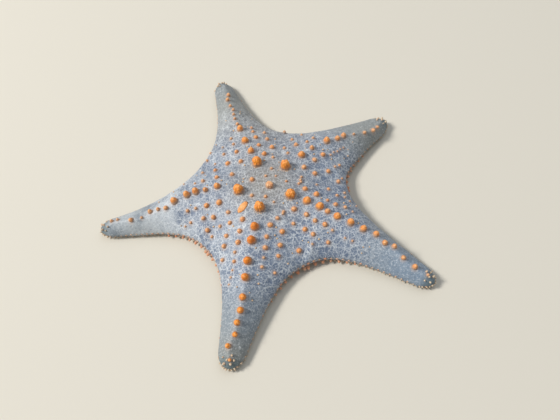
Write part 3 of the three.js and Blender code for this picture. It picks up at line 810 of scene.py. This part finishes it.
# ------------------------------
# Horns: five blunt orange cones round the middle of the disc and a small one between
# them. Each is a solid knob of limy plate under thin pitted skin.
smooth_tree = BVHTree.FromPolygons(smooth_places.tolist(),
                                   [tuple(p.vertices) for p in skin_mesh.polygons])
skin_tree = BVHTree.FromObject(skin, bpy.context.evaluated_depsgraph_get())


def seat(at):
    """The skin above a point of the plan, in metres, and the way the body faces there."""
    down = Vector((0, 0, -1))
    x, y = at[0] + STAR_MIDDLE[0], at[1] + STAR_MIDDLE[1]
    point = skin_tree.ray_cast(Vector((x * MM, y * MM, 0.1)), down)[0]
    facing = smooth_tree.ray_cast(Vector((*at, 90)), down)[1]
    return point, facing if facing.z > 0 else -facing


def start_piece(name):
    """Names the primitive just added and puts it in edit mode with nothing selected."""
    made = bpy.context.object
    made.name = made.data.name = name
    bpy.ops.object.mode_set(mode="EDIT")
    bpy.ops.mesh.select_mode(type="FACE")
    bpy.ops.mesh.select_all(action="DESELECT")
    return made


def pick_faces(made, wanted):
    """Selects the faces whose middle and normal pass the test."""
    shape = bmesh.from_edit_mesh(made.data)
    for face in shape.faces:
        face.select = wanted(face.calc_center_median(), face.normal)
    shape.select_flush_mode()
    bmesh.update_edit_mesh(made.data)


def stacked_cone(sides, rings, levels=0, closing=0.35):
    """A knob of unit size: a disc whose top is extruded up through the rings given, and
    then rounded off as often as levels says."""
    bpy.ops.object.select_all(action="DESELECT")
    bpy.ops.mesh.primitive_cylinder_add(vertices=sides, radius=rings[0][0], depth=0.3,
                                        location=(0, 0, rings[0][1] - 0.15))
    made = start_piece("knob")
    pick_faces(made, lambda middle, normal: normal.z > 0.9)
    width, level = rings[0]
    for radius, z in rings[1:]:
        bpy.ops.mesh.extrude_region_move(TRANSFORM_OT_translate={"value": (0, 0, z - level)})
        ratio = radius / width
        bpy.ops.transform.resize(value=(ratio, ratio, 1))
        width, level = radius, z
    bpy.ops.mesh.inset(thickness=width * closing)
    bpy.ops.transform.translate(value=(0, 0, width * 0.12))
    bpy.ops.object.mode_set(mode="OBJECT")
    bpy.ops.object.transform_apply(location=True, rotation=True, scale=True)
    bpy.ops.object.shade_smooth()
    if levels:
        finish_step(made, "SUBSURF", levels=levels, render_levels=levels)
    return made


def tag_height(made):
    """Stores how high each point of a knob is, from 0 at its foot to 1 at its top."""
    z = column_of(made.data, "co", 3)[:, 2]
    store(made.data, "rise", np.clip(z / z.max(), 0, 1))
    store(made.data, "tone", 0)


RIB_COUNT = 9


def roughen(made, lump, depth, shift=0, ribs=0):
    """Presses uneven lobes and upright ribs into a unit knob, and tags the hollows, which
    the knob's paint darkens as painted shade.
    """
    shape = made.data
    pushed, hollows = [], []
    for vertex in shape.vertices:
        near = noise.voronoi(Vector(vertex.co) / lump + Vector((shift, shift, 0)))[0]
        wave = noise.noise(Vector(vertex.co) * 1.1 + Vector((0, shift, shift)))
        turn = math.atan2(vertex.co.y, vertex.co.x)
        rib = ribs * math.cos(RIB_COUNT * turn + 5 * wave + shift)
        pushed.append(vertex.co + vertex.normal * (depth * (0.5 - near[0] + wave) + rib))
        hollows.append(min(max(near[0] * 1.3 - 0.35 - 5 * rib, 0), 1))
    move_points(shape, pushed)
    store(shape, "hollow", hollows)


def copy_of(master):
    copy = master.copy()
    copy.data = master.data.copy()
    bpy.context.collection.objects.link(copy)
    return copy


def join(copies, name):
    """Joins the copies of a knob into one named piece."""
    choose(*copies)
    if len(copies) > 1:
        bpy.ops.object.join()
    copies[0].name = copies[0].data.name = name
    return copies[0]


upright = Vector((0, 0, 1))


def set_out(master, name, seats, tone=(0, 1), stretch=(0.9, 1.12), full=0):
    """Copies a unit knob to every seat and joins the copies into one piece.

    A seat is a point in metres, the way the knob faces, its radius in mm and, for some, how
    much redder it is. Knobs that are smaller than the full size are paler."""
    tag_height(master)
    copies = []
    for point, facing, size, *redder in seats:
        copy = copy_of(master)
        lean = upright.rotation_difference(Vector(facing)).to_matrix().to_4x4()
        spin = Matrix.Rotation(draw.uniform(0, 6.28), 4, "Z")
        tall = size * draw.uniform(*stretch)
        grow = Matrix.Diagonal((size * MM, size * MM, tall * MM, 1))
        copy.data.transform(Matrix.Translation(point) @ lean @ spin @ grow)
        pale = min(draw.uniform(*tone) + max(0, full - size) / max(full, 1), 1) - sum(redder)
        store(copy.data, "tone", pale)
        copies.append(copy)
    bpy.data.objects.remove(master)
    return join(copies, name)


def dress(made, paint, slot, *nodes):
    """Gives a finished piece its material and its body, and hides the CAD nodes it stands for.
    """
    made.data.materials.clear()
    made.data.materials.append(paint)
    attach(made, "root")
    if nodes:
        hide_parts(*nodes)


def limy_paint(name, full, pale, dark, light, foot):
    """Thin pitted skin over a limy knob. The tone attribute of a knob goes from the full
    colour to the pale one. Its top is lighter, partly the knob's own paler tip and partly
    painted highlight; its hollows are darker with painted shade; and its foot fades into a
    darker colour, partly the skin round it and partly painted shade where it meets the skin."""
    made, shader = new_paint(name)
    maker = Shade(made.node_tree)
    place = maker.node("ShaderNodeTexCoord", None, None, 3).scaled((1 / MM,) * 3)
    rise = maker.tag("rise")
    tone = maker.tag("tone")
    hollow = maker.tag("hollow")
    speck = place.noise(0.7, 3, 0.6)
    patch = place.noise(7, 1)
    tint = tone.tint(full, pale).washed(
        (tone * -1, dark),
        (patch.rising(0.5, 0.66) * 0.15, dark),
        (speck.rising(0.5, 0.7) * 0.45, light),
        ((1 - speck.rising(0.3, 0.46)) * 0.5, dark),
        # Painted highlight, partly the knobs' own paler tips: the top of each knob is lighter.
        (rise.rising(0.7, 1) * (0.15 + tone * 0.4), light),
        # Painted shade: the hollows pressed into a knob are darker.
        (hollow * 0.6, dark),
        # The foot darkens towards the colour given: partly the skin round it, partly painted
        # shade where the knob meets the skin.
        ((1 - rise.rising(0.0, 0.55)) * 0.85, foot))
    tint.feed(shader, "Base Color")
    (0.34 + speck * 0.25).feed(shader, "Roughness")
    (place.cells(0.8) * 0.8 + speck * 0.5).bumps(shader, 0.7)
    return made


# The last colour of each knob paint is that of its foot, partly painted shade.
orange_paint = limy_paint("tubercle_orange", (255, 158, 36), (200, 182, 158),
                          (206, 98, 34), (255, 212, 150), (166, 146, 130))

HORN_TRIM = 0.95  # share of the solid's radius that is knob and not the skin round it
HORN_RINGS = [(1.12, -0.15), (1.0, 0.15), (0.97, 0.6), (0.92, 1.02), (0.8, 1.34),
              (0.54, 1.54)]
for index, at in enumerate([*horns, CENTRE_HORN]):
    is_centre = index == len(horns)
    master = stacked_cone(20, HORN_RINGS, levels=2)
    roughen(master, 0.5, 0.17, index, 0.03)
    size = CENTRE_HORN_RADIUS if is_centre else HORN_RADIUS
    stretch = (0.74, 0.74) if is_centre else (1.04, 1.12)
    tone_of = (0.6, 0.7) if is_centre else (0, 0.08)
    which = "centre" if is_centre else index + 1
    horn = set_out(master, f"horn_cone_{which}", [(*seat(at), HORN_TRIM * size)], tone_of,
                   stretch)
    dress(horn, orange_paint, "tubercle", f"horn_{which}")

# ------------------------------
# Crest tubercles: the single row of rounded orange knobs along the ridge of each arm,
# largest next to the horns. Those of the arm that points to the front are the reddest.
CREST_TRIM = 0.92
CREST_RINGS = [(1.14, -0.2), (1.02, 0.2), (0.88, 0.7), (0.64, 1.1), (0.36, 1.33)]
master = stacked_cone(10, CREST_RINGS, levels=1)
roughen(master, 0.55, 0.13, 3, 0.02)
seats = [(*seat(at), CREST_TRIM * size, red)
         for (at, size), red in zip(crest_spots, crest_red)]
crest = set_out(master, "crest_tubercles", seats, (0, 0.12), full=3)
dress(crest, orange_paint, "tubercle")

# ------------------------------
# Flank tubercles: smaller knobs in rows on the disc and on the sides of the arms, and a
# scatter of grains that have only begun to grow between them.
FLANK_TRIM = 0.84
GRAIN_COUNT = 70
GRAIN_MARKS = (14, 82)  # from the middle of the disc
GRAIN_SIZES = (0.42, 0.75)
GRAIN_ROOM = 1.7
FLANK_RINGS = [(1.12, -0.2), (0.98, 0.25), (0.78, 0.75), (0.42, 1.08)]
master = stacked_cone(9, FLANK_RINGS)
roughen(master, 0.7, 0.16, 5)
seats = [(*seat(at), FLANK_TRIM * size) for at, size in flank_spots]
flanks = set_out(master, "flank_tubercles", seats, (0, 0.3), full=2.6)
dress(flanks, orange_paint, "tubercle")

taken = [(np.array(at), size) for at, size in flank_spots + crest_spots]
taken += [(at, HORN_RADIUS) for at in horns]
taken += [(np.array(CENTRE_HORN), CENTRE_HORN_RADIUS), (sieve_at, 5)]
grain_seats = []
while len(grain_seats) < GRAIN_COUNT:
    arm = ARMS[len(grain_seats) % 5]
    mark = draw.uniform(*GRAIN_MARKS)
    hand = draw.choice((1, -1))
    reach = min(mark * 0.6, half_width(arm, arm[hand], max(mark, arm["base"])) - 4)
    at = spot(arm, mark, hand * draw.uniform(1, reach))
    if all(np.hypot(*(at - other)) > size + GRAIN_ROOM for other, size in taken):
        taken.append((at, 0.6))
        grain_seats.append((*seat(at), draw.uniform(*GRAIN_SIZES)))
grains = set_out(stacked_cone(7, FLANK_RINGS), "skin_grains", grain_seats, (0.8, 1))
dress(grains, orange_paint, "tubercle")

# ------------------------------
# Sieve plate: the low oval cushion of lime through which the star draws water. Fine
# crooked furrows run out over it from its middle.
SIEVE_TURN = 41
SIEVE_TONE = 0.3
SIEVE_FURROWS = 15
SIEVE_RINGS = [(1.0, -0.5), (0.97, 0.1), (0.88, 0.42), (0.72, 0.6), (0.45, 0.7)]
master = stacked_cone(56, SIEVE_RINGS, levels=1, closing=0.5)
tag_height(master)
furrows = []
for vertex in master.data.vertices:
    turn = math.atan2(vertex.co.y, vertex.co.x)
    reach = math.hypot(vertex.co.x, vertex.co.y)
    wave = math.cos(SIEVE_FURROWS * turn + 4 * noise.noise(vertex.co * 3.1) + 2 * reach)
    furrows.append(vertex.co + vertex.normal * 0.07 * wave * min(1, 2.4 * reach))
move_points(master.data, furrows)
long_way = Matrix.Diagonal((MADREPORITE["length"] / 2, MADREPORITE["width"] / 2,
                            MADREPORITE["height"], 1))
master.data.transform(Matrix.Rotation(math.radians(SIEVE_TURN), 4, "Z") @ long_way)
point, facing = seat(sieve_at)
lean = upright.rotation_difference(facing).to_matrix().to_4x4()
master.data.transform(Matrix.Translation(point) @ lean @ Matrix.Scale(MM, 4))
master.name = master.data.name = "sieve_plate"
store(master.data, "tone", SIEVE_TONE)
dress(master, orange_paint, "tubercle", "madreporite")

# ------------------------------
# Edge pegs: blunt limy pegs on the plates of the lower edge. They are stout and orange
# in the bays between the arms, small and pale along the arms, and longer at each tip.
PEG_GAP = 2.7
BAY_RUN = 34  # mm of edge, from the middle of a bay, that has stout pegs
PEG_LEVEL = 2.3
BAY_PEG_LEVEL = 3.3
RIM_GAP = 3.9
RIM_LEVELS = (7.4, 4.3)  # in the bays and from there to the tips
PEG_RINGS = [(1.1, -0.4), (1.0, 0.3), (0.78, 1.0), (0.4, 1.75)]
RIM_RINGS = [(1.3, -0.3), (1.1, 0.1), (0.75, 0.5)]
TIP_FAN = (1.3, 1.5, 1.65, 1.8, 1.93)
# The last pegs stand on top of each tip: the distance from its end, the offset, the radius.
TIP_PEGS = [(2.2, -2, 0.9), (2.6, 1.7, 1.05), (4.3, -0.4, 0.85), (5, 3.2, 0.75),
            (5.4, -3.4, 0.7), (7.2, 1.6, 0.8)]
peg_paint = limy_paint("peg_lime", (222, 138, 92), (206, 188, 158), (150, 104, 74),
                       (240, 222, 196), (150, 142, 138))


def edge_marks(arm, edge, gap):
    """Evenly spaced places along one edge of an arm: u, and the run from the notch."""
    steps = np.linspace(0, 2, 400)
    points = np.array([edge_point(arm, edge, u) for u in steps])
    run = run_along(points)
    count = round(run[-1] / gap)
    marks = (np.arange(count) + 0.5) * run[-1] / count
    return [(float(np.interp(mark, run, steps)), mark) for mark in marks]


def edge_seat(arm, edge, u, level, droop):
    """The skin at a height of the edge, and the way a peg stands out from it."""
    at, inward = edge_point(arm, edge, u), inwards(arm, edge, u)
    start = at - inward * 8 + STAR_MIDDLE
    hit = skin_tree.ray_cast(Vector((*start, level)) * MM, Vector((*inward, 0)))[0]
    return hit, Vector((*-inward, -droop)).normalized()


peg_seats, rim_seats, bay_seats = [], [], []
for arm in ARMS:
    for hand in (1, -1):
        for count, (u, run) in enumerate(edge_marks(arm, arm[hand], PEG_GAP)):
            if count % 2 == 0 and run < BAY_RUN:
                size = mix(1.7, 0.85, run / BAY_RUN) * draw.uniform(0.85, 1.1)
                bay_seats.append((*edge_seat(arm, arm[hand], u, BAY_PEG_LEVEL, 0.25), size))
            else:
                size = (0.72 if u > 1.3 else 0.5) * draw.uniform(0.8, 1.15)
                peg_seats.append((*edge_seat(arm, arm[hand], u, PEG_LEVEL, 0.12), size))
        for u in TIP_FAN:
            size = draw.uniform(0.5, 0.8)
            peg_seats.append((*edge_seat(arm, arm[hand], u, draw.uniform(3.6, 4.8), -0.5), size))
        for u, run in edge_marks(arm, arm[hand], RIM_GAP):
            level = mix(*RIM_LEVELS, min(u, 1)) + draw.uniform(-0.3, 0.3)
            size = mix(0.95, 0.55, min(u, 1)) * draw.uniform(0.8, 1.15)
            rim_seats.append((*edge_seat(arm, arm[hand], u, level, -0.2), size))
    for back_from, offset, size in TIP_PEGS:
        tip_spot = spot(arm, arm["length"] - back_from, offset)
        peg_seats.append((*seat(tip_spot), size * draw.uniform(0.85, 1.1)))
pegs = set_out(stacked_cone(7, PEG_RINGS), "edge_pegs", peg_seats, (0.75, 1))
dress(pegs, peg_paint, "tubercle")
bay_pegs = set_out(stacked_cone(7, PEG_RINGS), "bay_pegs", bay_seats, (0, 0.4))
dress(bay_pegs, peg_paint, "tubercle")
rim = set_out(stacked_cone(8, RIM_RINGS), "rim_knobs", rim_seats, (0, 0.4), full=1)
dress(rim, peg_paint, "tubercle")

# ------------------------------
# Horn collars: a ring of eighteen limy granules round the foot of each horn, where the
# skin closes on it.
COLLAR_STEP = 20  # degrees between two granules
GRANULE_RINGS = [(1.0, -0.3), (0.9, 0.3), (0.6, 0.7)]
collar_seats = []
for at in horns:
    for turn in range(0, 360, COLLAR_STEP):
        ring = polar(HORN_RADIUS * draw.uniform(1.12, 1.22), turn + draw.uniform(-5, 5), at)
        collar_seats.append((*seat(ring), draw.uniform(0.32, 0.48)))
granules = set_out(stacked_cone(6, GRANULE_RINGS), "horn_collars", collar_seats, (0.8, 1))
dress(granules, peg_paint, "tubercle")

# ------------------------------
# Jaws: five pairs of fused plates that point at the middle of the mouth. Each carries a
# fan of flat spines over the opening.
JAW = dict(inner=2.6, outer=11.5, width=5.4, point=1.0, low=0.6, high=5.2)
JAW_LUMP = 3  # size in mm of the unit that the lumps of the bone are made in
# Mouth spines: the distance from the middle of the mouth and the offset to one side.
JAW_SPINES = [(2.7, 0), (3.6, 0.9), (3.6, -0.9), (5, 1.4), (5, -1.4), (6.6, 1.9), (6.6, -1.9)]
JAW_SPINE_LEVEL = 1.9
JAW_SPINE_SIZE = 0.42
bone_paint = limy_paint("mouth_bone", (214, 186, 150), (226, 206, 176), (160, 122, 88),
                        (244, 232, 210), (176, 150, 122))
SPINE_RINGS = [(1.0, -0.4), (1.0, 1.2), (0.85, 2.6), (0.5, 3.6)]
spine_seats = []
for index in range(5):
    aim = math.radians(bay_heading(index))
    bpy.ops.object.select_all(action="DESELECT")
    bpy.ops.mesh.primitive_cube_add(size=1)
    jaw = start_piece(f"jaw_bone_{index + 1}")
    bpy.ops.mesh.select_all(action="SELECT")
    bpy.ops.transform.resize(value=(JAW["outer"] - JAW["inner"], JAW["width"],
                                    JAW["high"] - JAW["low"]))
    pick_faces(jaw, lambda middle, normal: normal.x < -0.9)
    bpy.ops.transform.resize(value=(1, JAW["point"] / JAW["width"], 0.7))
    bpy.ops.mesh.select_all(action="SELECT")
    bpy.ops.mesh.subdivide(number_cuts=1)
    bpy.ops.object.mode_set(mode="OBJECT")
    finish_step(jaw, "BEVEL", width=0.45, segments=1)
    finish_step(jaw, "SUBSURF", levels=3, render_levels=3)
    jaw.data.transform(Matrix.Scale(1 / JAW_LUMP, 4))
    roughen(jaw, 0.3, 0.07, index)
    middle = Vector(((JAW["inner"] + JAW["outer"]) / 2, 0, (JAW["low"] + JAW["high"]) / 2))
    place_of = Matrix.Translation((*STAR_MIDDLE, 0)) @ Matrix.Rotation(aim, 4, "Z")
    jaw.data.transform(Matrix.Scale(MM, 4) @ place_of @ Matrix.Translation(middle)
                       @ Matrix.Scale(JAW_LUMP, 4))
    tag_height(jaw)
    bpy.ops.object.shade_smooth()
    dress(jaw, bone_paint, "oral", f"jaw_{index + 1}")
    for out, side_way in JAW_SPINES:
        root = place_of @ Vector((out, side_way, JAW_SPINE_LEVEL))
        lean = Matrix.Rotation(aim, 3, "Z") @ Vector((-1, side_way * 0.8, -0.25))
        spine_seats.append((root * MM, lean, JAW_SPINE_SIZE))
mouth_spines = set_out(stacked_cone(7, SPINE_RINGS), "mouth_spines", spine_seats, (0, 1),
                       (0.9, 1.1))
dress(mouth_spines, bone_paint, "oral")

# ------------------------------
# Furrow spines: a comb of three small flat spines on each plate beside a groove, which
# lies over the groove and guards the tube feet.
COMB_GAP = 2.6
COMB_START = 12  # mm from the middle of the mouth
COMB_END = 10  # mm from the tip
COMB_FAN = (-0.7, 0, 0.7)
COMB_SIZE = 0.26
comb_seats = []


def belly_seat(arm, s, offset):
    """The underside at a place beside the middle line of an arm."""
    at = spot(arm, s, offset) + STAR_MIDDLE
    return skin_tree.ray_cast(Vector((*at, -5)) * MM, upright)[0]


for arm in ARMS:
    for count in range(int((arm["length"] - COMB_START - COMB_END) / COMB_GAP)):
        s = COMB_START + count * COMB_GAP
        ahead, left = along(arm, s)[1:]
        for hand in (1, -1):
            point = belly_seat(arm, s, hand * groove_width(arm, s) * 0.86)
            for fan in COMB_FAN:
                shift = Vector((*ahead, 0)) * fan * MM
                root = Vector((point.x, point.y, max(point.z, 0.5 * MM))) + shift
                lean = Vector((*(ahead * fan * 0.4 - hand * left), 0.1))
                comb_seats.append((root, lean.normalized(), COMB_SIZE))
combs = set_out(stacked_cone(5, SPINE_RINGS), "furrow_spines", comb_seats, (0.2, 1),
                (1.3, 1.7))
dress(combs, bone_paint, "oral")

# ------------------------------
# Tube feet: two rows of soft tubes in each groove, each ending in a round sucker. They
# are drawn in, so that the suckers stay just clear of the floor.
FOOT_GAP = 2.3
FOOT_START = 10
FOOT_END = 10
FOOT_REACH = 0.7  # height of a sucker above the floor
FOOT_RINGS = [(0.42, 0), (0.36, 0.3), (0.34, 0.62), (0.4, 0.82), (0.62, 0.9), (0.6, 1.0)]
foot_seats = []
for arm in ARMS:
    for count in range(int((arm["length"] - FOOT_START - FOOT_END) / FOOT_GAP)):
        s = FOOT_START + count * FOOT_GAP
        for hand in (1, -1):
            point = belly_seat(arm, s + hand * 0.5, hand * 0.36 * groove_width(arm, s))
            if point.z > 1.5 * MM:
                foot_seats.append(point)
feet_paint = limy_paint("foot_skin", (226, 196, 150), (236, 214, 180), (176, 128, 84),
                        (246, 236, 214), (204, 170, 128))
master = stacked_cone(7, FOOT_RINGS, closing=0.3)
tag_height(master)
feet = []
for point in foot_seats:
    tall = point.z - FOOT_REACH * MM
    foot = copy_of(master)
    foot.data.transform(Matrix.Translation(point) @ Matrix.Rotation(math.pi, 4, "X")
                        @ Matrix.Diagonal((MM, MM, tall, 1)))
    store(foot.data, "tone", draw.uniform(0, 1))
    feet.append(foot)
bpy.data.objects.remove(master)
dress(join(feet, "tube_feet"), feet_paint, "oral")

# ------------------------------
# Belly granules: low limy grains in rows beside the grooves, one on each small plate of
# the underside.
BELLY_GAP = 3.6
BELLY_START = 9  # mm from the middle of the mouth, and from the tips
BELLY_ROWS = 8
BELLY_COLUMNS = 34
BELLY_GRAIN = 0.75
BELLY_RINGS = [(1.0, -0.3), (0.9, 0.15), (0.6, 0.4)]
belly_seats = []
for arm, hand in SIDES:
    edge = arm[hand]
    for row in range(BELLY_ROWS):
        for count in range(BELLY_COLUMNS):
            s = BELLY_START + (count + 0.5 * (row % 2)) * BELLY_GAP
            aside = groove_width(arm, s) + REST_STRIP + 1.9 + row * BELLY_GAP
            if s < arm["base"]:
                limit = s / arm["base"] * half_width(arm, edge, arm["base"]) - 0.5
            else:
                limit = half_width(arm, edge, s) - EDGE_TUCK - 1.2
            if aside > limit or s > arm["length"] - BELLY_START:
                continue
            s += draw.uniform(-0.5, 0.5)
            point = belly_seat(arm, s, hand * (aside + draw.uniform(-0.4, 0.4)))
            if point and 0.55 * MM < point.z < 2 * MM:
                belly_seats.append((point, -upright, BELLY_GRAIN))
belly = set_out(stacked_cone(6, BELLY_RINGS), "belly_granules", belly_seats, (0.3, 1),
                (0.8, 1.1))
dress(belly, bone_paint, "oral")

size = {"cad": [list(corner) for corner in cad_box],
        "visual": [list(corner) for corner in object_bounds()]}
